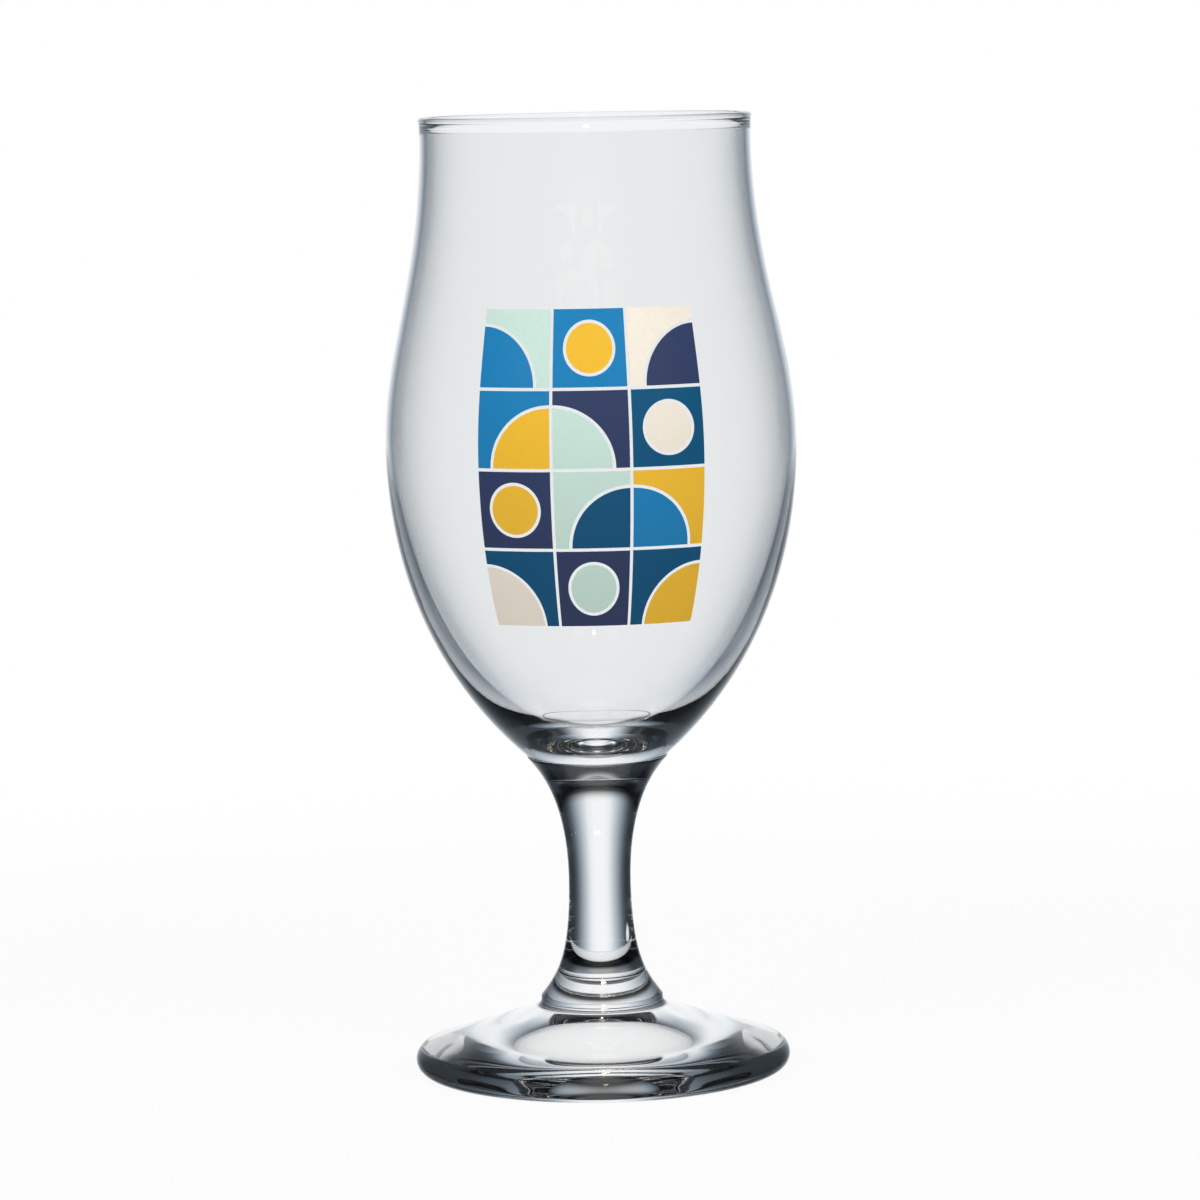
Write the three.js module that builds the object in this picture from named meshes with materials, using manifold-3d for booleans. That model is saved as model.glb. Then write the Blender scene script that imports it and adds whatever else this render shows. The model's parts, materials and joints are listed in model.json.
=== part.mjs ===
// A stemmed tulip beer glass of clear soda-lime glass: a blown bowl, a pressed stem and a pressed foot,
// fused end to end, with a panel of fired enamel tiles printed on the front of the bowl.
// Millimetres, +Z up. The origin is the middle of the ring that the foot stands on, and -Y is the front.
import * as THREE from "three";
import { mergeVertices } from "three/addons/utils/BufferGeometryUtils.js";
import Module from "manifold-3d";

// Heights of the whole glass and of the two fused faces
const HEIGHT = 185.3;
const WELD_HEIGHT = 61.5;
const COLLAR_HEIGHT = 13.95;

// Foot: a shallow cone with a round edge and a fillet up to the collar, standing on a flat ring round a hollow
const FOOT_RADIUS = 36.5;
const FOOT_SLOPE = THREE.MathUtils.degToRad(18.5);
const FOOT_LOWER_ROUND = 2.5;
const FOOT_FILLET = 1.7;
const REST_RING_WIDTH = 4.5;
const HOLLOW_RISE = 6.8;
const HOLLOW_HANDLES = [0.45, 0.52];

// Stem: a waisted bar from the collar on the foot to the neck of the bowl
const COLLAR_RADIUS = 11.85;
const COLLAR_SIDE = 0.4;
const COLLAR_ROUND = 0.35;
const COLLAR_FLARE = [3.1, 4];
const WAIST_RADIUS = 6.05;
const WAIST_HEIGHT = 37.1;
const WAIST_HANDLE_DOWN = 15;
const WAIST_HANDLE_UP = 18.6;
const STEM_TOP_RADIUS = 13.6;
const STEM_TOP_HANDLE = 0.9;

// Bowl: outer shape, wall and lip
const NECK_RADIUS = 13.3;
const NECK_HANDLE = [14.5, 12.5];
const BELLY_RADIUS = 39.6;
const BELLY_HEIGHT = 122.6;
const BELLY_HANDLE_DOWN = 28.4;
const BELLY_HANDLE_UP = 18.5;
const LIP_RADIUS = 31.75;
const LIP_HEIGHT = 182;
const LIP_HANDLE = 26.5;
const WALL = 1.3;
const BASE_HEIGHT = 64.6;
const BASE_HANDLE = 22;
const BASE_THICKENING = 3.4;
const BEAD_RADIUS = 31.2;
const BEAD_HALF_WIDTH = 0.75;
const BEAD_HALF_HEIGHT = 0.7;

// Print: a panel of square tiles, each one motif on its ground, with clear lines between the patches
const TILE = 15;
const CLEAR_LINE = 0.6;
const PANEL_HEIGHT = 120.3;
const QUARTER_RADIUS = 11.2;
const DISC_RADIUS = 4.6;
const FILM_GAP = 0.05;
const FILM_THICKNESS = 0.2;
const CUTTER_RADII = [28, 46];

// Facets
const TURN_FACETS = 48;
const BOWL_STEPS = 9;
const STEM_STEPS = 8;
const HOLLOW_STEPS = 7;
const EDGE_STEPS = 4;
const COLLAR_STEPS = 2;
const BEAD_STEPS = 8;
const QUARTER_STEPS = 5;
const DISC_STEPS = 10;
const MERGE_DISTANCE = 1e-4;

const RIGHT_ANGLE = Math.PI / 2;

const GLASS_LOOK = { color: 0xeaf1f3, roughness: 0.03, metalness: 0, transparent: true, opacity: 0.4 };
const ENAMEL_COLOURS = {
  blue: 0x1287c4,
  deep_blue: 0x045a86,
  mint: 0xd3efe4,
  yellow: 0xffc832,
  cream: 0xfff6e6,
  navy: 0x36446c,
};
const ENAMEL_FINISH = { roughness: 0.3, metalness: 0 };

// Rows run from the top of the panel down. A tile is its motif, the motif's quarter turns and its enamels.
const PANEL = [
  [["quarter", 0, "blue", "mint"], ["disc", 0, "yellow", "blue"], ["quarter", 1, "navy", "cream"]],
  [["quarter", 1, "yellow", "blue"], ["quarter", 0, "mint", "navy"], ["disc", 0, "cream", "deep_blue"]],
  [["disc", 0, "yellow", "navy"], ["quarter", 1, "deep_blue", "mint"], ["quarter", 0, "blue", "yellow"]],
  [["quarter", 0, "cream", "deep_blue"], ["disc", 0, "mint", "navy"], ["quarter", 1, "yellow", "deep_blue"]],
];

const wasm = await Module();
wasm.setup();

const at = (radius, height) => new THREE.Vector2(radius, height);

// A curve that leaves its first point and reaches its last one along the two handles between them
function span(steps, start, startHandle, endHandle, end) {
  return new THREE.CubicBezierCurve(start, startHandle, endHandle, end).getPoints(steps);
}

function arc(steps, centre, halfWidth, halfHeight, fromAngle, toAngle) {
  const curve = new THREE.EllipseCurve(centre.x, centre.y, halfWidth, halfHeight, fromAngle, toAngle);
  return curve.getPoints(steps);
}

// Turns a section of radii and heights round the Z axis, with the facets' seam at the front
function turn(section) {
  const isNew = (here, i) => i === 0 || here.distanceTo(section[i - 1]) > MERGE_DISTANCE;
  const geometry = new THREE.LatheGeometry(section.filter(isNew), TURN_FACETS);
  return geometry.rotateX(RIGHT_ANGLE);
}

// The edge's upper round is tangent to its lower round and to the cone, and the fillet to the cone and the collar.
function footSection() {
  const slope = Math.tan(FOOT_SLOPE);
  const coneRise = (FOOT_RADIUS - COLLAR_RADIUS) * slope;
  const bothRounds = (COLLAR_HEIGHT - FOOT_LOWER_ROUND - coneRise) / (1 / Math.cos(FOOT_SLOPE) - slope);
  const upperRound = bothRounds - FOOT_FILLET;
  const upperCentre = at(FOOT_RADIUS - upperRound, FOOT_LOWER_ROUND);
  const lowerCentre = at(FOOT_RADIUS - FOOT_LOWER_ROUND, FOOT_LOWER_ROUND);
  const filletCentre = at(COLLAR_RADIUS + FOOT_FILLET, COLLAR_HEIGHT);
  const filletEnd = 3 * RIGHT_ANGLE - FOOT_SLOPE;
  const hollowRadius = lowerCentre.x - REST_RING_WIDTH;
  const [topShare, ringShare] = HOLLOW_HANDLES;
  const hollow = span(
    HOLLOW_STEPS,
    at(0, HOLLOW_RISE),
    at(hollowRadius * topShare, HOLLOW_RISE),
    at(hollowRadius * ringShare, 0),
    at(hollowRadius, 0),
  );
  return [
    ...hollow,
    ...arc(EDGE_STEPS, lowerCentre, FOOT_LOWER_ROUND, FOOT_LOWER_ROUND, -RIGHT_ANGLE, 0),
    ...arc(EDGE_STEPS, upperCentre, upperRound, upperRound, 0, RIGHT_ANGLE - FOOT_SLOPE),
    ...arc(EDGE_STEPS, filletCentre, FOOT_FILLET, FOOT_FILLET, 2 * RIGHT_ANGLE, filletEnd).reverse(),
    at(0, COLLAR_HEIGHT),
  ];
}

function stemSection() {
  const [flareIn, flareUp] = COLLAR_FLARE;
  const roundCentre = at(COLLAR_RADIUS - COLLAR_ROUND, COLLAR_HEIGHT + COLLAR_SIDE);
  const collar = arc(COLLAR_STEPS, roundCentre, COLLAR_ROUND, COLLAR_ROUND, 0, RIGHT_ANGLE / 2);
  const flareStart = collar[COLLAR_STEPS];
  const lower = span(
    STEM_STEPS,
    flareStart,
    at(flareStart.x - flareIn, flareStart.y + flareUp),
    at(WAIST_RADIUS, WAIST_HEIGHT - WAIST_HANDLE_DOWN),
    at(WAIST_RADIUS, WAIST_HEIGHT),
  );
  const upper = span(
    STEM_STEPS,
    at(WAIST_RADIUS, WAIST_HEIGHT),
    at(WAIST_RADIUS, WAIST_HEIGHT + WAIST_HANDLE_UP),
    at(STEM_TOP_RADIUS, WELD_HEIGHT - STEM_TOP_HANDLE),
    at(STEM_TOP_RADIUS, WELD_HEIGHT),
  );
  return [
    at(0, COLLAR_HEIGHT),
    at(COLLAR_RADIUS, COLLAR_HEIGHT),
    ...collar,
    ...lower,
    ...upper,
    at(0, WELD_HEIGHT),
  ];
}

// From the neck over the belly to just under the lip
function bowlOutside() {
  const [neckOut, neckUp] = NECK_HANDLE;
  const neck = at(NECK_RADIUS, WELD_HEIGHT);
  const belly = at(BELLY_RADIUS, BELLY_HEIGHT);
  const lip = at(LIP_RADIUS, LIP_HEIGHT);
  const belowBelly = at(BELLY_RADIUS, BELLY_HEIGHT - BELLY_HANDLE_DOWN);
  const aboveBelly = at(BELLY_RADIUS, BELLY_HEIGHT + BELLY_HANDLE_UP);
  const belowLip = at(LIP_RADIUS, LIP_HEIGHT - LIP_HANDLE);
  const aboveNeck = at(NECK_RADIUS + neckOut, WELD_HEIGHT + neckUp);
  return [
    ...span(BOWL_STEPS, neck, aboveNeck, belowBelly, belly),
    ...span(BOWL_STEPS, belly, aboveBelly, belowLip, lip),
  ];
}

// From just under the lip down the wall, which thickens towards the round bottom of the inside
function bowlInside() {
  const bellyRadius = BELLY_RADIUS - WALL;
  const lipRadius = LIP_RADIUS - WALL;
  const lip = at(lipRadius, LIP_HEIGHT);
  const belly = at(bellyRadius, BELLY_HEIGHT);
  const base = at(0, BASE_HEIGHT);
  const belowLip = at(lipRadius, LIP_HEIGHT - LIP_HANDLE);
  const aboveBelly = at(bellyRadius, BELLY_HEIGHT + BELLY_HANDLE_UP);
  const belowBelly = at(bellyRadius, BELLY_HEIGHT - BELLY_HANDLE_DOWN + BASE_THICKENING);
  const besideBase = at(BASE_HANDLE, BASE_HEIGHT);
  return [
    ...span(BOWL_STEPS, lip, belowLip, aboveBelly, belly),
    ...span(BOWL_STEPS, belly, belowBelly, besideBase, base),
  ];
}

function bowlSection() {
  const bead = at(BEAD_RADIUS, HEIGHT - BEAD_HALF_HEIGHT);
  return [
    at(0, WELD_HEIGHT),
    ...bowlOutside(),
    ...arc(BEAD_STEPS, bead, BEAD_HALF_WIDTH, BEAD_HALF_HEIGHT, 0, 2 * RIGHT_ANGLE),
    ...bowlInside(),
  ];
}

// A thin shell that follows the facets of the bowl just outside them
function filmShell() {
  const raise = (distance) => bowlOutside().map((here) => at(here.x + distance, here.y));
  const outside = raise(FILM_GAP + FILM_THICKNESS);
  const inside = raise(FILM_GAP).reverse();
  return asSolid(turn([...outside, ...inside, outside[0]]));
}

function asSolid(geometry) {
  const bare = geometry.clone();
  bare.deleteAttribute("normal");
  bare.deleteAttribute("uv");
  const merged = mergeVertices(bare, MERGE_DISTANCE);
  const mesh = new wasm.Mesh({
    numProp: 3,
    vertProperties: merged.attributes.position.array,
    triVerts: new Uint32Array(merged.index.array),
  });
  return new wasm.Manifold(mesh);
}

function asGeometry(solid) {
  const mesh = solid.getMesh();
  const geometry = new THREE.BufferGeometry();
  geometry.setAttribute("position", new THREE.BufferAttribute(mesh.vertProperties, mesh.numProp));
  geometry.setIndex(new THREE.BufferAttribute(mesh.triVerts, 1));
  geometry.computeVertexNormals();
  return geometry;
}

// The two patches of a tile, round its middle: a quarter disc in its lower left corner, and what is left
function quarterShapes() {
  const half = (TILE - CLEAR_LINE) / 2;
  const groundRadius = QUARTER_RADIUS + CLEAR_LINE;
  const motif = new THREE.Shape();
  motif.moveTo(-half, -half);
  motif.lineTo(QUARTER_RADIUS - half, -half);
  motif.absarc(-half, -half, QUARTER_RADIUS, 0, RIGHT_ANGLE);
  motif.closePath();
  const ground = new THREE.Shape();
  ground.moveTo(half, -half);
  ground.lineTo(half, half);
  ground.lineTo(-half, half);
  ground.absarc(-half, -half, groundRadius, RIGHT_ANGLE, 0, true);
  ground.closePath();
  return { motif, ground, steps: QUARTER_STEPS };
}

// A disc in the tile's middle, and the square round it
function discShapes() {
  const half = (TILE - CLEAR_LINE) / 2;
  const motif = new THREE.Shape();
  motif.absarc(0, 0, DISC_RADIUS, 0, 4 * RIGHT_ANGLE);
  const ground = new THREE.Shape();
  ground.moveTo(-half, -half);
  ground.lineTo(half, -half);
  ground.lineTo(half, half);
  ground.lineTo(-half, half);
  ground.closePath();
  const hole = new THREE.Path();
  hole.absarc(0, 0, DISC_RADIUS + CLEAR_LINE, 0, 4 * RIGHT_ANGLE);
  ground.holes.push(hole);
  return { motif, ground, steps: DISC_STEPS };
}

const MOTIFS = { quarter: quarterShapes(), disc: discShapes() };

// A shape on the panel becomes a wedge through the bowl's wall: distance along the panel turns into an angle.
function wedge(shape, steps, quarterTurns, column, row) {
  const [innerRadius, outerRadius] = CUTTER_RADII;
  const options = { depth: outerRadius - innerRadius, bevelEnabled: false, curveSegments: steps };
  const geometry = new THREE.ExtrudeGeometry(shape, options);
  const across = (column - (PANEL[row].length - 1) / 2) * TILE;
  const up = PANEL_HEIGHT + ((PANEL.length - 1) / 2 - row) * TILE;
  geometry.rotateZ(quarterTurns * RIGHT_ANGLE);
  geometry.translate(across, up, innerRadius);
  const position = geometry.attributes.position;
  for (let i = 0; i < position.count; i += 1) {
    const angle = position.getX(i) / BELLY_RADIUS;
    const radius = position.getZ(i);
    position.setXYZ(i, radius * Math.sin(angle), -radius * Math.cos(angle), position.getY(i));
  }
  return asSolid(geometry);
}

function piece(name, geometry, look) {
  const mesh = new THREE.Mesh(geometry, new THREE.MeshStandardMaterial(look));
  mesh.name = name;
  return mesh;
}

function printedTiles() {
  const shell = filmShell();
  const print = new THREE.Group();
  PANEL.forEach((tiles, row) => {
    tiles.forEach(([motifName, quarterTurns, motifColour, groundColour], column) => {
      const { motif, ground, steps } = MOTIFS[motifName];
      const place = `tile_${row + 1}_${column + 1}`;
      const patches = [
        [`${place}_${motifName}`, motif, motifColour],
        [`${place}_ground`, ground, groundColour],
      ];
      for (const [name, shape, colour] of patches) {
        const film = shell.intersect(wedge(shape, steps, quarterTurns, column, row));
        print.add(piece(name, asGeometry(film), { color: ENAMEL_COLOURS[colour], ...ENAMEL_FINISH }));
      }
    });
  });
  return print;
}

const glass = new THREE.Group();
glass.add(piece("foot", turn(footSection()), GLASS_LOOK));
glass.add(piece("stem", turn(stemSection()), GLASS_LOOK));
glass.add(piece("bowl", turn(bowlSection()), GLASS_LOOK));
glass.add(printedTiles());

export default glass;
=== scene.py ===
import json
import math
from bisect import bisect_left

import bmesh
import bpy
from bpy.props import FloatProperty, FloatVectorProperty, IntProperty, PointerProperty
from mathutils import Matrix, Vector
from mathutils.geometry import interpolate_bezier


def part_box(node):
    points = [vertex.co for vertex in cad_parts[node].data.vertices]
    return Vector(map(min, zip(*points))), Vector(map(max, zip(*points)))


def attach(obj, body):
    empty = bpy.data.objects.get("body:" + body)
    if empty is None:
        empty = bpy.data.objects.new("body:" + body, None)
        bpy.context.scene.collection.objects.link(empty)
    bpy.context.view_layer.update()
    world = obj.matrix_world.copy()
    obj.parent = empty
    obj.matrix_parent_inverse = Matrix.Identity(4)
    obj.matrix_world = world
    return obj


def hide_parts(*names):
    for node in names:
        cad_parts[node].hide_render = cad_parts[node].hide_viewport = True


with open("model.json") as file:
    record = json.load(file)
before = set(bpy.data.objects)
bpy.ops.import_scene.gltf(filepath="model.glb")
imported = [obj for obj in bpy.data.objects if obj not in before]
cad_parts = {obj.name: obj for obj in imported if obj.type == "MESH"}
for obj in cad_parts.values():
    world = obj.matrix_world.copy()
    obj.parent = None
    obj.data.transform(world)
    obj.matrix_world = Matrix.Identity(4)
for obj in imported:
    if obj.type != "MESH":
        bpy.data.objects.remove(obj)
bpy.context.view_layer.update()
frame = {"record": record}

bl_info = {
    "name": "Tulip Beer Glass",
    "version": (1, 0, 0),
    "blender": (4, 5, 0),
    "location": "View3D > Sidebar > Beer Glass",
    "description": "Builds a stemmed tulip beer glass with a fired enamel print, and a studio round it",
    "category": "Object",
}

MM = 0.001
RIGHT_ANGLE = math.pi / 2
BODY = "root"
MERGE_DISTANCE = 1e-7
SHARP_ANGLE = math.radians(35)

# Steps along the curves of the sections
BOWL_STEPS = 72
BEAD_STEPS = 24
COLLAR_STEPS = 6
FLARE_STEPS = 240
STEM_STEPS = 64
HOLLOW_STEPS = 64
EDGE_STEPS = 28
FILLET_STEPS = 20

BOWL_LOW, BOWL_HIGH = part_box("bowl")
STEM_LOW, STEM_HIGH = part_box("stem")
FOOT_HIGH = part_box("foot")[1]
SLOT_OF_NODE = {part["node"]: part["material_slot"] for part in frame["record"]["subparts"]}
SLOT_COLOUR = {slot["slot"]: slot["base_color"] for slot in frame["record"]["materials"]}

# The motif of each tile and its quarter turns, in rows from the top of the panel down
PANEL = (
    (("quarter", 0), ("disc", 0), ("quarter", 1)),
    (("quarter", 1), ("quarter", 0), ("disc", 0)),
    (("disc", 0), ("quarter", 1), ("quarter", 0)),
    (("quarter", 0), ("disc", 0), ("quarter", 1)),
)


# Settings that a user would change

def length(name, description, default):
    """A size in metres."""
    return FloatProperty(name=name, description=description, default=default, unit="LENGTH", precision=5)


def angle(name, description, degrees):
    """An angle, given in degrees."""
    return FloatProperty(name=name, description=description, default=math.radians(degrees), subtype="ANGLE")


def fraction(name, description, default):
    """A share of another size."""
    return FloatProperty(name=name, description=description, default=default, subtype="FACTOR")


def colour(name, description, default):
    """A colour, given as linear red, green and blue."""
    return FloatVectorProperty(name=name, description=description, default=default, size=3, subtype="COLOR")


class BowlSizes(bpy.types.PropertyGroup):
    """Section of the blown bowl"""

    neck_radius: length("Neck radius", "Outside of the bowl where it is fused to the stem", 13.3 * MM)
    neck_out: length("Neck handle out", "How far the bowl leans out as it leaves the neck", 14.5 * MM)
    neck_up: length("Neck handle up", "How far the bowl rises as it leaves the neck", 12.5 * MM)
    belly_radius: length("Belly radius", "Widest outside of the bowl", BOWL_HIGH.x)
    belly_height: length("Belly height", "Height of the widest place", 122.6 * MM)
    belly_down: length("Belly handle down", "How far the belly runs straight down", 28.4 * MM)
    belly_up: length("Belly handle up", "How far the belly runs straight up", 18.5 * MM)
    lip_radius: length("Lip radius", "Outside of the wall under the lip", 31.75 * MM)
    lip_height: length("Lip height", "Height at which the lip's bead begins", 182 * MM)
    lip_down: length("Lip handle", "How far the wall runs straight down from the lip", 26.5 * MM)
    wall: length("Wall", "Thickness of the wall at the belly", 1.3 * MM)
    base_height: length("Base height", "Lowest point of the inside", 64.6 * MM)
    base_handle: length("Base handle", "Flatness of the bottom of the inside", 22 * MM)
    base_thickening: length("Base thickening", "How much sooner the inside turns in", 3.4 * MM)
    bead_radius: length("Bead radius", "Middle of the lip's bead", 31.2 * MM)
    bead_half_width: length("Bead half width", "Half the thickness of the bead", 0.75 * MM)
    bead_half_height: length("Bead half height", "Half the height of the bead", 0.7 * MM)
    facets: IntProperty(name="Facets", description="Steps round the bowl", default=192)


class StemSizes(bpy.types.PropertyGroup):
    """Section of the pressed stem"""

    collar_radius: length("Collar radius", "Outside of the collar on the foot", 11.85 * MM)
    collar_side: length("Collar side", "Height of the collar's upright side", 0.4 * MM)
    collar_round: length("Collar round", "Rounding of the collar's upper edge", 0.35 * MM)
    flare_in: length("Flare in", "How far the flare leans in from the collar", 3.1 * MM)
    flare_up: length("Flare up", "How far the flare rises as it leans in", 4 * MM)
    line_depth: length("Line depth", "Depth of the fine mould lines round the flare", 0.0008 * MM)
    line_width: length("Line width", "Width of the fine mould lines round the flare", 0.07 * MM)
    line_start: length("Line start", "Height of the lowest mould line above the collar", 0.63 * MM)
    line_pitch: length("Line pitch", "Height from one mould line to the next", 0.9 * MM)
    lines: IntProperty(name="Lines", description="Number of fine mould lines round the flare", default=3)
    waist_radius: length("Waist radius", "Thinnest radius of the stem", 6.05 * MM)
    waist_height: length("Waist height", "Height of the thinnest place", 37.1 * MM)
    waist_down: length("Waist handle down", "How far the waist runs straight down", 15 * MM)
    waist_up: length("Waist handle up", "How far the waist runs straight up", 18.6 * MM)
    top_radius: length("Top radius", "Outside of the stem where the bowl is fused to it", 13.6 * MM)
    top_handle: length("Top handle", "How far the stem's top edge runs straight down", 0.9 * MM)
    facets: IntProperty(name="Facets", description="Steps round the stem", default=144)


class FootSizes(bpy.types.PropertyGroup):
    """Section of the pressed foot"""

    slope: angle("Slope", "Slope of the cone from the edge to the collar", 18.5)
    lower_round: length("Lower round", "Rounding of the edge's lower half", 2.5 * MM)
    ring_width: length("Rest ring width", "Width of the flat ring that the glass stands on", 4.5 * MM)
    fillet: length("Fillet", "Rounding from the cone up to the collar", 1.7 * MM)
    hollow_rise: length("Hollow rise", "Height of the hollow under the foot", 6.8 * MM)
    hollow_top: fraction("Hollow top", "Share of the radius to which the hollow's top handle reaches", 0.45)
    hollow_skirt: fraction("Hollow skirt", "Share of the radius to which its edge handle comes in", 0.52)
    facets: IntProperty(name="Facets", description="Steps round the foot", default=256)


class PrintSizes(bpy.types.PropertyGroup):
    """The printed panel of enamel tiles"""

    tile: length("Tile", "Pitch of the square tiles", 15 * MM)
    clear_line: length("Clear line", "Bare glass between two patches", 0.6 * MM)
    middle_height: length("Middle height", "Height of the middle of the panel", 120.3 * MM)
    quarter_radius: length("Quarter radius", "Radius of a quarter disc", 11.2 * MM)
    disc_radius: length("Disc radius", "Radius of a disc", 4.6 * MM)
    sunk: length("Sunk", "How far the fired film sits in the glass", 0.02 * MM)
    thickness: length("Thickness", "Thickness of the fired film", 0.07 * MM)
    step: length("Step", "Size of the faces that follow the bowl", 1.25 * MM)
    arc_steps: IntProperty(name="Arc steps", description="Steps in a quarter of a circle", default=24)


class StudioSettings(bpy.types.PropertyGroup):
    """Camera, floor and lights"""

    camera_distance: length("Camera distance", "From the axis of the glass", 0.984)
    camera_height: length("Camera height", "Above the floor", 0.2008)
    aim_across: length("Aim across", "Where the camera aims, to the right of the axis", 1.12 * MM)
    aim_height: length("Aim height", "Height that the camera aims at", 91.7 * MM)
    roll: angle("Roll", "Turn of the camera about its own axis", -1.15)
    lens: FloatProperty(name="Lens", description="Focal length in millimetres", default=153.5)
    floor_radius: length("Floor radius", "Radius of the pale floor", 0.6)
    floor_colour: colour("Floor colour", "Pale floor", (0.9, 0.9, 0.9))
    floor_drop: length("Floor drop", "Gap between the foot and the floor", 0.1 * MM)
    strip_radius: length("Strip radius", "Radius of the low strip of light round the foot", 0.08)
    strip_height: length("Strip height", "Height of the low strip of light round the foot", 0.028)
    light_turns: IntProperty(name="Light turns", description="Most turns of light in the glass", default=32)


class GlassSettings(bpy.types.PropertyGroup):
    """All settings of the glass and its studio"""

    bowl: PointerProperty(type=BowlSizes)
    stem: PointerProperty(type=StemSizes)
    foot: PointerProperty(type=FootSizes)
    panel: PointerProperty(type=PrintSizes)
    studio: PointerProperty(type=StudioSettings)


# Shader trees as Python expressions

class Wire:
    """An output socket that takes part in Python sums: each operator adds a Math node."""

    def __init__(self, tree, socket):
        self.tree = tree
        self.socket = socket

    def math(self, operation, *others):
        return self.tree.node("ShaderNodeMath", {"operation": operation}, dict(enumerate((self, *others))))

    def __add__(self, other):
        return self.math("ADD", other)

    def __mul__(self, other):
        return self.math("MULTIPLY", other)

    def __sub__(self, other):
        return self.math("SUBTRACT", other)

    def __truediv__(self, other):
        return self.math("DIVIDE", other)

    def __rsub__(self, other):
        return self.tree.node("ShaderNodeMath", {"operation": "SUBTRACT"}, {0: other, 1: self})

    __radd__ = __add__
    __rmul__ = __mul__

    def least(self, other):
        return self.math("MINIMUM", other)

    def most(self, other):
        return self.math("MAXIMUM", other)

    def size(self):
        return self.math("ABSOLUTE")

    def ease(self, start, end, low=0.0, high=1.0):
        """The low value before start and the high one after end, with a smooth change between them."""
        settings = {"interpolation_type": "SMOOTHSTEP"}
        inputs = {"Value": self, "From Min": start, "From Max": end, "To Min": low, "To Max": high}
        return self.tree.node("ShaderNodeMapRange", settings, inputs)


def set_stops(ramp, stops):
    """Gives a colour ramp its stops, each a place and a colour."""
    while len(ramp.elements) < len(stops):
        ramp.elements.new(1.0)
    for element, (place, shade) in zip(ramp.elements, stops):
        element.position = place
        element.color = rgba(shade)


class Tree:
    """A node tree with one method that adds any node."""

    def __init__(self, owner):
        owner.use_nodes = True
        self.nodes = owner.node_tree.nodes
        self.links = owner.node_tree.links
        self.nodes.clear()

    def node(self, kind, settings=None, inputs=None, output=0):
        """Adds a node, applies its settings, then sets or links its inputs, and returns one output."""
        node = self.nodes.new(kind)
        for name, value in (settings or {}).items():
            if name == "stops":
                set_stops(node.color_ramp, value)
            else:
                setattr(node, name, value)
        for key, value in (inputs or {}).items():
            if isinstance(value, Wire):
                self.links.new(value.socket, node.inputs[key])
            else:
                node.inputs[key].default_value = value
        return Wire(self, node.outputs[output]) if node.outputs else node

    def place(self):
        """The point in the piece's own coordinates, which are the row frame's, in metres."""
        return self.node("ShaderNodeTexCoord", output="Object")

    def axes(self, vector):
        """The three numbers of a vector."""
        split = self.node("ShaderNodeSeparateXYZ", inputs={0: vector}).socket.node
        return [Wire(self, socket) for socket in split.outputs]

    def grain(self, scale, detail=2.0, roughness=0.5):
        """Noise of a given number of waves to the metre."""
        inputs = {"Vector": self.place(), "Scale": scale, "Detail": detail, "Roughness": roughness}
        return self.node("ShaderNodeTexNoise", inputs=inputs)

    def blend(self, factor, first, second):
        """A mix of two colours."""
        inputs = {"Factor": factor, "A": first, "B": second}
        return self.node("ShaderNodeMix", {"data_type": "RGBA"}, inputs, output="Result")

    def join(self, factor, first, second):
        """A mix of two shaders."""
        return self.node("ShaderNodeMixShader", inputs={0: factor, 1: first, 2: second})

    def light_path(self, name):
        """A fact about the ray that meets the surface or the world."""
        return self.node("ShaderNodeLightPath", output=name)

    def by_glass(self):
        """1 for a ray that comes from glass, through it or mirrored."""
        return self.light_path("Is Glossy Ray").most(self.light_path("Is Transmission Ray"))

    def came_through(self, faces):
        """1 for a ray that came through so many faces of glass or more."""
        return self.light_path("Transmission Depth").ease(faces - 1.5, faces - 0.5)

    def straight_through(self, faces):
        """1 for a ray that came through so many faces of glass or more and was never mirrored."""
        return self.came_through(faces) * (1 - self.light_path("Glossy Depth").least(1))

    def turned(self, least, most):
        """1 for a ray that was mirrored in the glass at least and at most so many times."""
        turns = self.light_path("Glossy Depth")
        return turns.ease(least - 0.7, least - 0.3) * (1 - turns.ease(most + 0.3, most + 0.7))

    def show(self, shader):
        self.node("ShaderNodeOutputMaterial", inputs={"Surface": shader})


def rgba(values, share=1.0):
    """A colour socket's four numbers, darkened to a share."""
    return (*(share * v for v in tuple(values)[:3]), 1.0)


def new_material(name):
    material = bpy.data.materials.new(name)
    return material, Tree(material)


def shared_material(name, maker, *details):
    """A material that several pieces share, made by the first of them."""
    return bpy.data.materials.get(name) or maker(*details)


# Heights over which the waves in the glass set in
WAVES_SET_IN = (12 * MM, 40 * MM)

# Heights of the foot and the top of the print, over which painted shade darkens it, the painted shade at the
# foot, and the shade and share of its speckles
PRINT_HEIGHTS = (90 * MM, 152 * MM)
PAINTED_SHADE_AT_FOOT = 0.8
SPECKLE_SHADE = 0.7
SPECKLE_SHARE = 0.12


def clear_glass():
    """Clear soda-lime glass, with faint slow waves above the foot."""
    material, tree = new_material("soda_lime_glass")
    height = tree.axes(tree.place())[2]
    waves = tree.grain(70.0, detail=1.0) * height.ease(*WAVES_SET_IN)
    normal = tree.node("ShaderNodeBump", inputs={"Strength": 0.02, "Distance": MM, "Height": waves})
    tree.show(tree.node("ShaderNodeBsdfPrincipled", inputs={
        "Base Color": (0.985, 0.992, 0.993, 1.0),
        "Roughness": 0.0,
        "IOR": 1.52,
        "Transmission Weight": 1.0,
        "Normal": normal,
    }))
    return material


def fused_face():
    """The face inside a weld, where glass runs on into glass and nothing shows."""
    material, tree = new_material("fused_face")
    tree.show(tree.node("ShaderNodeBsdfPrincipled", inputs={"Alpha": 0.0, "IOR": 1.0}))
    return material


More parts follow.
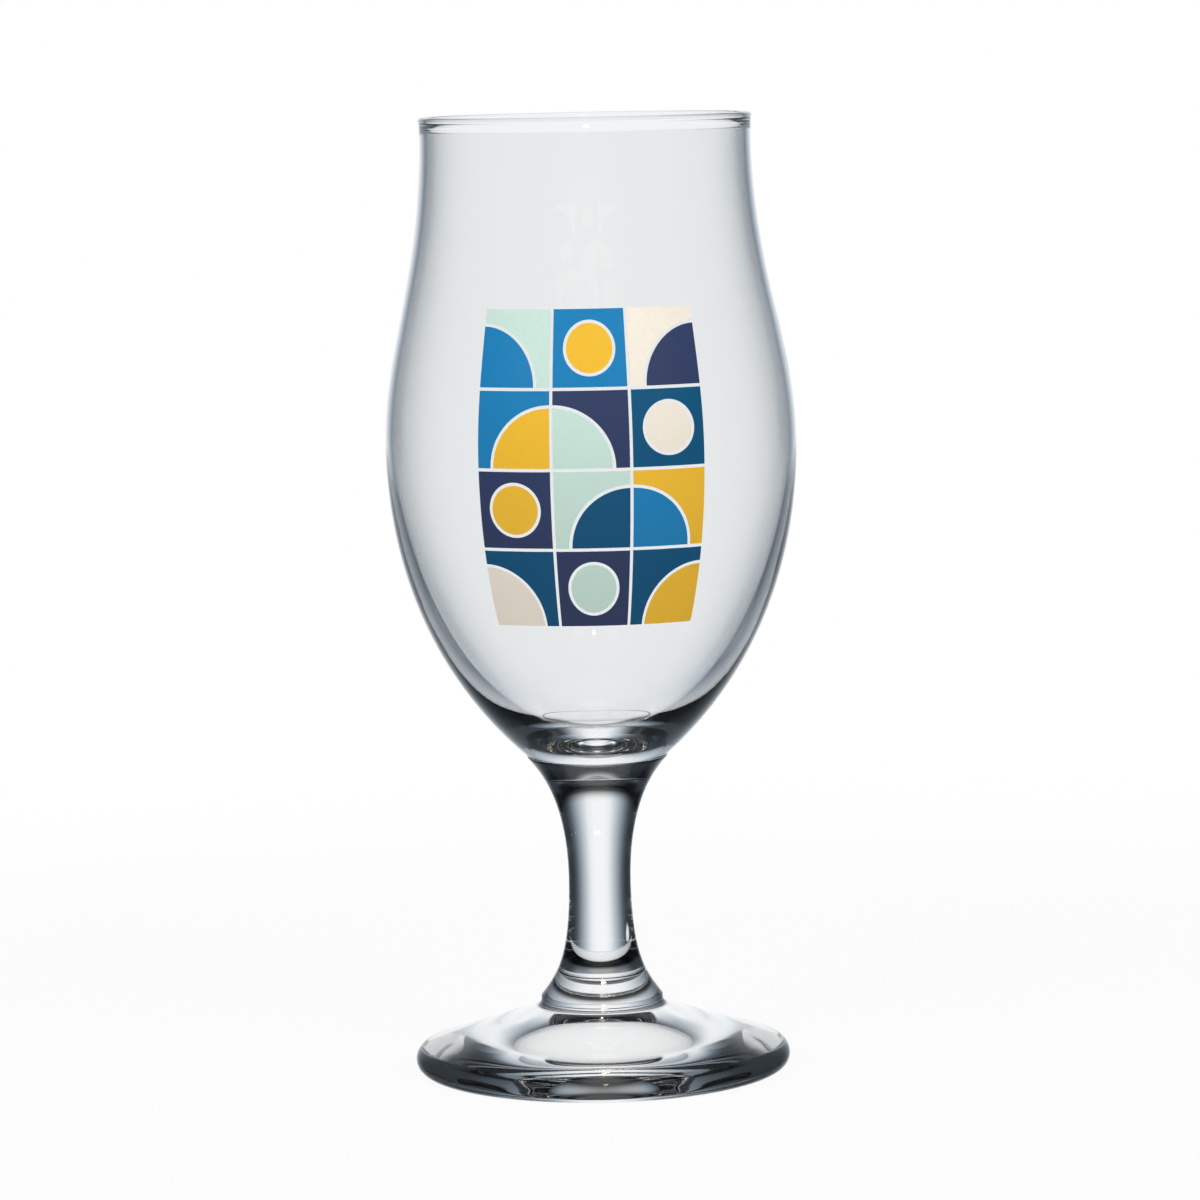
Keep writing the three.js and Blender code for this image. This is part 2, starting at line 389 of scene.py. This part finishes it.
def enamel(slot):
    """Fired screen-printed enamel with painted shade that makes it a little darker down the panel, and a fine
    mottled gloss.
    """
    material, tree = new_material(f"fired_{slot}")
    base = SLOT_COLOUR[slot]
    height = tree.axes(tree.place())[2]
    # Painted shade: the print's colour darkens a little towards the foot of the panel
    down = 1 - height.ease(*PRINT_HEIGHTS)
    painted_shade_colour = tree.blend(down, rgba(base), rgba(base, PAINTED_SHADE_AT_FOOT))
    mottle = tree.grain(1500.0, detail=4.0, roughness=0.6)
    speckle = mottle.ease(0.35, 0.7)
    tint = tree.blend(speckle * SPECKLE_SHARE, painted_shade_colour, rgba(base, SPECKLE_SHADE))
    normal = tree.node("ShaderNodeBump", inputs={"Strength": 0.15, "Distance": 0.02 * MM, "Height": mottle})
    tree.show(tree.node("ShaderNodeBsdfPrincipled", inputs={
        "Base Color": tint,
        "Roughness": 0.28 + 0.16 * speckle,
        "IOR": 1.5,
        "Normal": normal,
    }))
    return material


# Sections and pieces

def span(steps, start, start_handle, end_handle, end):
    """Points of a curve that leaves its start and reaches its end along the two handles."""
    corners = [Vector((*corner, 0.0)) for corner in (start, start_handle, end_handle, end)]
    return [(p.x, p.y) for p in interpolate_bezier(*corners, steps)]


def arc(steps, centre, half_width, half_height, start, end):
    """Points of part of an ellipse, from one angle to another."""
    angles = [start + (end - start) * i / steps for i in range(steps + 1)]
    return [(centre[0] + half_width * math.cos(a), centre[1] + half_height * math.sin(a)) for a in angles]


def bowl_outside(sizes):
    """Radii and heights from the neck over the belly to just under the lip."""
    neck = (sizes.neck_radius, BOWL_LOW.z)
    belly = (sizes.belly_radius, sizes.belly_height)
    lip = (sizes.lip_radius, sizes.lip_height)
    below_belly = (sizes.belly_radius, sizes.belly_height - sizes.belly_down)
    above_belly = (sizes.belly_radius, sizes.belly_height + sizes.belly_up)
    below_lip = (sizes.lip_radius, sizes.lip_height - sizes.lip_down)
    above_neck = (sizes.neck_radius + sizes.neck_out, BOWL_LOW.z + sizes.neck_up)
    lower = span(BOWL_STEPS, neck, above_neck, below_belly, belly)
    upper = span(BOWL_STEPS, belly, above_belly, below_lip, lip)
    return lower + upper[1:]


def bowl_inside(sizes):
    """Radii and heights from just under the lip down to the middle of the base."""
    belly_radius = sizes.belly_radius - sizes.wall
    lip_radius = sizes.lip_radius - sizes.wall
    lip = (lip_radius, sizes.lip_height)
    belly = (belly_radius, sizes.belly_height)
    below_lip = (lip_radius, sizes.lip_height - sizes.lip_down)
    above_belly = (belly_radius, sizes.belly_height + sizes.belly_up)
    below_belly = (belly_radius, sizes.belly_height - sizes.belly_down + sizes.base_thickening)
    beside_base = (sizes.base_handle, sizes.base_height)
    upper = span(BOWL_STEPS, lip, below_lip, above_belly, belly)
    lower = span(BOWL_STEPS, belly, below_belly, beside_base, (0.0, sizes.base_height))
    return upper + lower[1:]


def bowl_section(sizes):
    bead_middle = (sizes.bead_radius, BOWL_HIGH.z - sizes.bead_half_height)
    half_sizes = (sizes.bead_half_width, sizes.bead_half_height)
    bead = arc(BEAD_STEPS, bead_middle, *half_sizes, -RIGHT_ANGLE / 3, 7 * RIGHT_ANGLE / 3)
    return [(0.0, BOWL_LOW.z), *bowl_outside(sizes), *bead, *bowl_inside(sizes)]


def stem_section(sizes, neck_radius):
    bottom, top = STEM_LOW.z, STEM_HIGH.z
    collar_middle = (sizes.collar_radius - sizes.collar_round, bottom + sizes.collar_side)
    collar = arc(COLLAR_STEPS, collar_middle, sizes.collar_round, sizes.collar_round, 0.0, RIGHT_ANGLE / 2)
    flare = collar[-1]
    waist = (sizes.waist_radius, sizes.waist_height)
    flare_handle = (flare[0] - sizes.flare_in, flare[1] + sizes.flare_up)
    below_waist = (sizes.waist_radius, sizes.waist_height - sizes.waist_down)
    above_waist = (sizes.waist_radius, sizes.waist_height + sizes.waist_up)
    top_edge = (sizes.top_radius, top)
    below_top = (sizes.top_radius, top - sizes.top_handle)
    lower = span(FLARE_STEPS, flare, flare_handle, below_waist, waist)
    upper = span(STEM_STEPS, waist, above_waist, below_top, top_edge)
    return [
        (0.0, bottom),
        (sizes.collar_radius, bottom),
        *collar,
        *lined(lower, sizes)[1:],
        *upper[1:],
        (neck_radius, top),
        (0.0, top),
    ]


def lined(points, sizes):
    """The flare's points with the fine lines that the mould leaves round it."""
    lowest = points[0][1] + sizes.line_start
    heights = [lowest + sizes.line_pitch * i for i in range(sizes.lines)]
    out = []
    for radius, height in points:
        shares = [math.exp(-((height - line) / sizes.line_width) ** 2) for line in heights]
        out.append((radius - sizes.line_depth * sum(shares), height))
    return out


def foot_section(sizes, collar_radius):
    """The upper round is tangent to the lower one and the cone, the fillet to the cone and the collar."""
    rim, collar_height = FOOT_HIGH.x, FOOT_HIGH.z
    slope = math.tan(sizes.slope)
    left_over = collar_height - sizes.lower_round - (rim - collar_radius) * slope
    upper_round = left_over / (1 / math.cos(sizes.slope) - slope) - sizes.fillet
    upper_middle = (rim - upper_round, sizes.lower_round)
    lower_middle = (rim - sizes.lower_round, sizes.lower_round)
    fillet_middle = (collar_radius + sizes.fillet, collar_height)
    fillet_turn = (3 * RIGHT_ANGLE - sizes.slope, 2 * RIGHT_ANGLE)
    hollow_radius = lower_middle[0] - sizes.ring_width
    hollow = span(
        HOLLOW_STEPS,
        (0.0, sizes.hollow_rise),
        (sizes.hollow_top * hollow_radius, sizes.hollow_rise),
        (sizes.hollow_skirt * hollow_radius, 0.0),
        (hollow_radius, 0.0),
    )
    return [
        *hollow,
        *arc(EDGE_STEPS, lower_middle, sizes.lower_round, sizes.lower_round, -RIGHT_ANGLE, 0.0),
        *arc(EDGE_STEPS, upper_middle, upper_round, upper_round, 0.0, RIGHT_ANGLE - sizes.slope)[1:],
        *arc(FILLET_STEPS, fillet_middle, sizes.fillet, sizes.fillet, *fillet_turn),
        (0.0, collar_height),
    ]


def finished(name, mesh_maker, materials, node):
    """Turns a bmesh into a piece that rides on the part and stands for one of its nodes."""
    bmesh.ops.recalc_face_normals(mesh_maker, faces=mesh_maker.faces)
    mesh = bpy.data.meshes.new(name)
    mesh_maker.to_mesh(mesh)
    mesh_maker.free()
    for material in materials:
        mesh.materials.append(material)
    for polygon in mesh.polygons:
        polygon.use_smooth = True
    mesh.set_sharp_from_angle(angle=SHARP_ANGLE)
    piece = bpy.data.objects.new(name, mesh)
    bpy.context.scene.collection.objects.link(piece)
    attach(piece, BODY)
    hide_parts(node)
    return piece


def spun(section, facets):
    """A closed bmesh of a section turned round the axis."""
    maker = bmesh.new()
    verts = [maker.verts.new((radius, 0.0, height)) for radius, height in section]
    edges = [maker.edges.new(pair) for pair in zip(verts, verts[1:])]
    turn = {"cent": (0, 0, 0), "axis": (0, 0, 1), "angle": math.tau, "steps": facets, "use_merge": True}
    bmesh.ops.spin(maker, geom=verts + edges, **turn)
    bmesh.ops.remove_doubles(maker, verts=maker.verts, dist=MERGE_DISTANCE)
    return maker


def mark_welds(maker, welds):
    """Gives the faces inside a weld, each at a height and within a radius, the second material."""
    for face in maker.faces:
        middle = face.calc_center_median()
        for height, radius in welds:
            if abs(middle.z - height) < MERGE_DISTANCE and middle.xy.length < radius:
                face.material_index = 1


def glass_piece(node, section, facets, welds):
    maker = spun(section, facets)
    mark_welds(maker, welds)
    materials = [shared_material("soda_lime_glass", clear_glass), shared_material("fused_face", fused_face)]
    return finished(f"glass_{node}", maker, materials, node)


# The printed patches

def quarter_loops(sizes, is_motif):
    """A quarter disc in the tile's lower left corner, or the rest of the tile."""
    half = (sizes.tile - sizes.clear_line) / 2
    corner = (-half, -half)
    if is_motif:
        radius = sizes.quarter_radius
        return [[corner, *arc(sizes.arc_steps, corner, radius, radius, 0.0, RIGHT_ANGLE)]]
    radius = sizes.quarter_radius + sizes.clear_line
    inner = arc(sizes.arc_steps, corner, radius, radius, RIGHT_ANGLE, 0.0)
    return [[(half, -half), (half, half), (-half, half), *inner]]


def disc_loops(sizes, is_motif):
    """A disc in the tile's middle, or the square round it."""
    half = (sizes.tile - sizes.clear_line) / 2
    radius = sizes.disc_radius if is_motif else sizes.disc_radius + sizes.clear_line
    circle = arc(4 * sizes.arc_steps, (0.0, 0.0), radius, radius, 0.0, math.tau)[:-1]
    if is_motif:
        return [circle]
    return [[(-half, -half), (half, -half), (half, half), (-half, half)], circle]


LOOPS = {"quarter": quarter_loops, "disc": disc_loops}


def flat_patch(loops):
    """A flat bmesh filled between closed loops of points."""
    maker = bmesh.new()
    for loop in loops:
        verts = [maker.verts.new((*point, 0.0)) for point in loop]
        for pair in zip(verts, verts[1:] + verts[:1]):
            maker.edges.new(pair)
    bmesh.ops.triangle_fill(maker, use_beauty=True, edges=maker.edges)
    return maker


def slice_patch(maker, step):
    """Cuts a flat patch along a square grid, so that it can bend."""
    for axis in range(2):
        normal = Vector((axis == 0, axis == 1, 0))
        values = [vert.co[axis] for vert in maker.verts]
        first, last = math.ceil(min(values) / step), math.floor(max(values) / step)
        for i in range(first, last + 1):
            everything = [*maker.verts, *maker.edges, *maker.faces]
            bmesh.ops.bisect_plane(maker, geom=everything, plane_co=normal * (i * step), plane_no=normal)


def outside_radius(section, height):
    """Radius of the outside of the bowl at a height."""
    i = min(max(bisect_left(section, height, key=lambda point: point[1]), 1), len(section) - 1)
    (low_radius, low), (high_radius, high) = section[i - 1], section[i]
    return low_radius + (high_radius - low_radius) * (height - low) / (high - low)


def wrap_patch(maker, sizes, bowl):
    """Bends a flat patch on to the bowl, and gives it its thickness."""
    section = bowl_outside(bowl)
    lift = sizes.thickness - sizes.sunk
    for vert in maker.verts:
        turn = vert.co.x / bowl.belly_radius
        radius = outside_radius(section, vert.co.y) + lift
        vert.co = (radius * math.sin(turn), -radius * math.cos(turn), vert.co.y)
    bmesh.ops.recalc_face_normals(maker, faces=maker.faces)
    if sum(face.normal.y for face in maker.faces) > 0:
        bmesh.ops.reverse_faces(maker, faces=maker.faces)
    bmesh.ops.solidify(maker, geom=maker.faces, thickness=sizes.thickness)


def print_patch(node, motif, is_motif, turns, across, up, settings):
    maker = flat_patch(LOOPS[motif](settings.panel, is_motif))
    bmesh.ops.rotate(maker, verts=maker.verts, matrix=Matrix.Rotation(turns * RIGHT_ANGLE, 3, "Z"))
    bmesh.ops.translate(maker, verts=maker.verts, vec=(across, up, 0.0))
    slice_patch(maker, settings.panel.step)
    wrap_patch(maker, settings.panel, settings.bowl)
    slot = SLOT_OF_NODE[node]
    material = shared_material(f"fired_{slot}", enamel, slot)
    return finished(f"print_{node}", maker, [material], node)


# Studio

WHITE = (1.0, 1.0, 1.0, 1.0)
PALE = {"Color": (0.97, 0.985, 1.0, 1.0), "Strength": 0.9}
DIAGONAL = 0.707
STAGE_SEGMENTS = 96
LAMPS_AIM = (0.0, 0.0, 0.1)

# The low strip: how much of it is seen, and the heights over which its front part sets in
STRIP_SHARE = 0.8
STRIP_FRONT = (10 * MM, 14 * MM)

# The camera's share of the floor that glows white near the glass
FLOOR_GLOW = 0.92

# White that glass sees on the floor: the radii over which the place under the foot fades and how much of it
# is seen, then the distances over which the wedge behind sets in and the slopes over which its sides fade
UNDER_FOOT = (30 * MM, 42 * MM)
UNDER_FOOT_SHARE = 0.75
WEDGE_START = (90 * MM, 140 * MM)
WEDGE_SIDES = (0.2, 0.38)

# Soft light on the print, and what is added to it through the glass
SOFT_LIGHT = 0.5
SOFT_LIGHT_ADDED = 0.6


def set_camera(scene, studio):
    data = bpy.data.cameras.new("camera")
    data.lens = studio.lens
    camera = bpy.data.objects.new("camera", data)
    camera.location = (0.0, -studio.camera_distance, studio.camera_height)
    aim = Vector((studio.aim_across, 0.0, studio.aim_height)) - camera.location
    facing = aim.to_track_quat("-Z", "Y").to_matrix().to_4x4()
    rolled = facing @ Matrix.Rotation(studio.roll, 4, "Z")
    camera.matrix_world = Matrix.Translation(camera.location) @ rolled
    scene.collection.objects.link(camera)
    scene.camera = camera


def stage_piece(name, maker, material):
    """Turns a bmesh into something that stands round the glass and isn't part of it."""
    mesh = bpy.data.meshes.new(name)
    maker.to_mesh(mesh)
    maker.free()
    mesh.materials.append(material)
    thing = bpy.data.objects.new(name, mesh)
    bpy.context.scene.collection.objects.link(thing)


def lay_floor(studio):
    maker = bmesh.new()
    low = Matrix.Translation((0.0, 0.0, -studio.floor_drop))
    disc = {"cap_ends": True, "segments": STAGE_SEGMENTS, "radius": studio.floor_radius}
    bmesh.ops.create_circle(maker, **disc, matrix=low)
    stage_piece("floor", maker, floor_material(studio))


def stand_strip(studio):
    maker = bmesh.new()
    radius, height = studio.strip_radius, studio.strip_height
    raised = Matrix.Translation((0.0, 0.0, height / 2))
    ring = {"segments": STAGE_SEGMENTS, "radius1": radius, "radius2": radius, "depth": height}
    bmesh.ops.create_cone(maker, **ring, matrix=raised)
    stage_piece("strip", maker, strip_material(radius))


def strip_material(radius):
    """A pale strip, at both sides and in front, that only light turned often in the glass can see."""
    material, tree = new_material("strip")
    x, y, z = tree.axes(tree.place())
    rise = (0.55 * radius, 0.75 * radius)
    sides = tree.turned(5, 7) * x.size().ease(*rise)
    front = tree.turned(2, 6) * (-1 * y).ease(*rise) * z.ease(*STRIP_FRONT)
    seen = STRIP_SHARE * sides.most(front)
    open_air = tree.node("ShaderNodeBsdfTransparent")
    pale = tree.node("ShaderNodeEmission", inputs=PALE)
    tree.show(tree.join(seen, open_air, pale))
    return material


def floor_material(studio):
    """A pale floor that fades into white. Glass looks through most of it at the world, and sees white
    close to the foot and, through both walls of the bowl, in a wedge behind on the left."""
    material, tree = new_material("floor")
    x, y, _ = tree.axes(tree.place())
    from_axis = (x * x + y * y).math("SQRT")
    white = tree.node("ShaderNodeEmission", inputs={"Color": WHITE})
    lit = tree.node("ShaderNodeBsdfDiffuse", inputs={"Color": rgba(studio.floor_colour)})
    glow = from_axis.ease(0.25 * studio.floor_radius, 0.7 * studio.floor_radius, low=FLOOR_GLOW)
    pale = tree.join(tree.light_path("Is Camera Ray") * glow, lit, white)
    under_foot = tree.straight_through(2) * from_axis.ease(*UNDER_FOOT, low=UNDER_FOOT_SHARE, high=0.0)
    along = DIAGONAL * (y - x)
    beside = DIAGONAL * (x + y).size() / along.most(MM)
    wedge = tree.straight_through(4) * along.ease(*WEDGE_START) * (1 - beside.ease(*WEDGE_SIDES))
    open_air = tree.node("ShaderNodeBsdfTransparent")
    below = tree.join(under_foot.most(wedge), open_air, white)
    tree.show(tree.join(tree.by_glass(), pale, below))
    return material


def hang_lamps():
    """Two soft lamps in front for the print, and a small warm one whose sparkle shows in the glass."""
    soft = {"width": 0.7, "height": 0.7, "tint": (1.0, 1.0, 1.0), "shows": False}
    lamp("lamp_left", (-0.9, -1.2, 1.0), energy=8.0, **soft)
    lamp("lamp_right", (0.9, -1.2, 1.0), energy=8.0, **soft)
    warm = {"width": 0.07, "height": 0.3, "tint": (1.0, 0.88, 0.7), "shows": True}
    lamp("sparkle", (0.02, -1.08, 1.14), energy=0.6, **warm)


def lamp(name, place, energy, width, height, tint, shows):
    data = bpy.data.lights.new(name, "AREA")
    data.shape = "RECTANGLE"
    data.size = width
    data.size_y = height
    data.energy = energy
    data.color = tint
    thing = bpy.data.objects.new(name, data)
    thing.location = place
    thing.rotation_euler = (Vector(LAMPS_AIM) - thing.location).to_track_quat("-Z", "Y").to_euler()
    thing.visible_camera = False
    thing.visible_glossy = shows
    thing.visible_transmission = shows
    bpy.context.scene.collection.objects.link(thing)


# Brightness of the tall bright panel by the sine of the angle to the side of it
SIDEWAYS_STOPS = (
    (0.10, (0.98, 0.99, 1.0)),
    (0.19, (0.88, 0.915, 0.94)),
    (0.29, (0.61, 0.66, 0.71)),
    (0.39, (0.38, 0.43, 0.48)),
    (0.49, (0.20, 0.24, 0.28)),
    (0.59, (0.085, 0.105, 0.125)),
    (0.71, (0.036, 0.044, 0.052)),
    (1.0, (0.03, 0.036, 0.042)),
)

# Sines of the angles up at which the tall panel fades at its foot and its top, and what is left past them
PANEL_FOOT = (-0.95, -0.8)
PANEL_TOP = (0.31, 0.6)
LEFT_BELOW = 0.4
LEFT_ABOVE = 0.08

# Light in front of the glass, below and above the height of the camera, as a share of the light behind it
FRONT_LOW = 0.06
FRONT_HIGH = 0.2

# Turns in the glass over which the panel's light fades, and what is left after them
MANY_TURNS = (5.5, 7.5)
LEFT_AFTER_TURNS = 0.1

# How much narrower the panel is near level, seen through both walls of the bowl
LEVEL_NARROWING = 0.3

# Pale panels on the left and in front, each by its direction and its narrowness, and the sines of the angles
# over which the sides of a panel of narrowness 1 fade
SIDE_PANELS = (
    ((-1.0, 0.0), 2.0),
    ((DIAGONAL, -DIAGONAL), 1.0),
)
SIDE_PANELS_FADE = (0.15, 0.6)

# Direction of a small pale card, low behind on the left, and cosines of the angles over which its edge fades
LOW_CARD = (-0.64, 0.64, -0.42)
LOW_CARD_EDGE = (0.992, 0.997)


def tall_panel(tree, x, y, z):
    """A tall bright panel behind the glass with soft sides and a soft top, and dark elsewhere."""
    aside = x.size() / (x * x + y * y).math("SQRT").most(0.9)
    level = z.ease(-0.2, -0.08) * (1 - z.ease(0.08, 0.2))
    narrowing = 1 + LEVEL_NARROWING * tree.came_through(4) * level
    shade = tree.node("ShaderNodeValToRGB", {"stops": SIDEWAYS_STOPS}, {"Fac": aside * narrowing})
    upright = z.ease(*PANEL_FOOT, low=LEFT_BELOW) * z.ease(*PANEL_TOP, low=1.0, high=LEFT_ABOVE)
    front = z.ease(0.0, 0.2, FRONT_LOW, FRONT_HIGH)
    behind = y.ease(-0.1, 0.15)
    after_turns = tree.light_path("Glossy Depth").ease(*MANY_TURNS, low=1.0, high=LEFT_AFTER_TURNS)
    strength = upright * (front + (1 - front) * behind) * after_turns
    return tree.node("ShaderNodeBackground", inputs={"Color": shade, "Strength": strength})


def surroundings(tree):
    """The tall panel, and the pale panels and card for rays that came straight through the glass."""
    direction = tree.node("ShaderNodeTexCoord", output="Generated")
    x, y, z = tree.axes(direction)
    settings = {"operation": "DOT_PRODUCT"}
    towards_card = tree.node("ShaderNodeVectorMath", settings, {0: direction, 1: LOW_CARD}, output="Value")
    cards = towards_card.ease(*LOW_CARD_EDGE)
    for (across, along), narrowing in SIDE_PANELS:
        facing = x * across + y * along
        beside = narrowing * (x * along - y * across).size()
        cards = cards.most(facing.ease(0.0, 0.2) * (1 - beside.ease(*SIDE_PANELS_FADE)))
    seen = cards * tree.straight_through(2) * (1 - z.ease(*PANEL_TOP))
    pale = tree.node("ShaderNodeBackground", inputs=PALE)
    return tree.join(seen, tall_panel(tree, x, y, z), pale)


def light_world(scene):
    """White for the camera, the studio's bright and dark parts for the glass, and even soft light for the
    print, which is stronger where it comes through the glass to the print's back."""
    world = bpy.data.worlds.new("studio")
    scene.world = world
    tree = Tree(world)
    white = tree.node("ShaderNodeBackground", inputs={"Color": WHITE})
    strength = SOFT_LIGHT + SOFT_LIGHT_ADDED * tree.light_path("Is Transmission Ray")
    soft = tree.node("ShaderNodeBackground", inputs={"Color": WHITE, "Strength": strength})
    from_print = tree.light_path("Diffuse Depth").least(1)
    lit = tree.join(tree.by_glass() * (1 - from_print), soft, surroundings(tree))
    shown = tree.join(tree.light_path("Is Camera Ray"), lit, white)
    tree.node("ShaderNodeOutputWorld", inputs={"Surface": shown})


# Operators

class BEERGLASS_OT_foot(bpy.types.Operator):
    """Makes the pressed foot"""

    bl_idname = "beer_glass.foot"
    bl_label = "Foot"

    def execute(self, context):
        settings = context.scene.beer_glass
        welds = [(FOOT_HIGH.z, settings.stem.collar_radius)]
        section = foot_section(settings.foot, settings.stem.collar_radius)
        glass_piece("foot", section, settings.foot.facets, welds)
        return {"FINISHED"}


class BEERGLASS_OT_stem(bpy.types.Operator):
    """Makes the pressed stem"""

    bl_idname = "beer_glass.stem"
    bl_label = "Stem"

    def execute(self, context):
        settings = context.scene.beer_glass
        welds = [(STEM_LOW.z, settings.stem.collar_radius), (STEM_HIGH.z, settings.bowl.neck_radius)]
        section = stem_section(settings.stem, settings.bowl.neck_radius)
        glass_piece("stem", section, settings.stem.facets, welds)
        return {"FINISHED"}


class BEERGLASS_OT_bowl(bpy.types.Operator):
    """Makes the blown bowl"""

    bl_idname = "beer_glass.bowl"
    bl_label = "Bowl"

    def execute(self, context):
        settings = context.scene.beer_glass
        welds = [(BOWL_LOW.z, settings.bowl.neck_radius)]
        glass_piece("bowl", bowl_section(settings.bowl), settings.bowl.facets, welds)
        return {"FINISHED"}


class BEERGLASS_OT_print(bpy.types.Operator):
    """Prints the enamel tiles on the front of the bowl"""

    bl_idname = "beer_glass.print"
    bl_label = "Enamel print"

    def execute(self, context):
        settings = context.scene.beer_glass
        pitch = settings.panel.tile
        for row, tiles in enumerate(PANEL):
            up = settings.panel.middle_height + ((len(PANEL) - 1) / 2 - row) * pitch
            for column, (motif, turns) in enumerate(tiles):
                across = (column - (len(tiles) - 1) / 2) * pitch
                place = f"tile_{row + 1}_{column + 1}"
                print_patch(f"{place}_{motif}", motif, True, turns, across, up, settings)
                print_patch(f"{place}_ground", motif, False, turns, across, up, settings)
        return {"FINISHED"}


class BEERGLASS_OT_studio(bpy.types.Operator):
    """Sets up the camera, the pale floor, the low strip, the lamps and the bright surroundings"""

    bl_idname = "beer_glass.studio"
    bl_label = "Studio"

    def execute(self, context):
        studio = context.scene.beer_glass.studio
        set_camera(context.scene, studio)
        lay_floor(studio)
        stand_strip(studio)
        hang_lamps()
        light_world(context.scene)
        for limit in ("max_bounces", "glossy_bounces", "transmission_bounces", "transparent_max_bounces"):
            setattr(context.scene.cycles, limit, studio.light_turns)
        context.scene.view_settings.view_transform = "Standard"
        return {"FINISHED"}


class VIEW3D_PT_beer_glass(bpy.types.Panel):
    """Lists what makes the glass and its studio"""

    bl_label = "Beer Glass"
    bl_space_type = "VIEW_3D"
    bl_region_type = "UI"
    bl_category = "Beer Glass"

    def draw(self, context):
        for operator in OPERATORS:
            self.layout.operator(operator.bl_idname)


OPERATORS = (
    BEERGLASS_OT_studio,
    BEERGLASS_OT_foot,
    BEERGLASS_OT_stem,
    BEERGLASS_OT_bowl,
    BEERGLASS_OT_print,
)
GROUPS = (BowlSizes, StemSizes, FootSizes, PrintSizes, StudioSettings, GlassSettings)
CLASSES = (*GROUPS, *OPERATORS, VIEW3D_PT_beer_glass)


def register():
    for cls in CLASSES:
        bpy.utils.register_class(cls)
    bpy.types.Scene.beer_glass = PointerProperty(type=GlassSettings)


def unregister():
    del bpy.types.Scene.beer_glass
    for cls in reversed(CLASSES):
        bpy.utils.unregister_class(cls)


def main():
    register()
    bpy.ops.beer_glass.studio()
    bpy.ops.beer_glass.foot()
    bpy.ops.beer_glass.stem()
    bpy.ops.beer_glass.bowl()
    bpy.ops.beer_glass.print()


if __name__ == "__main__":
    main()
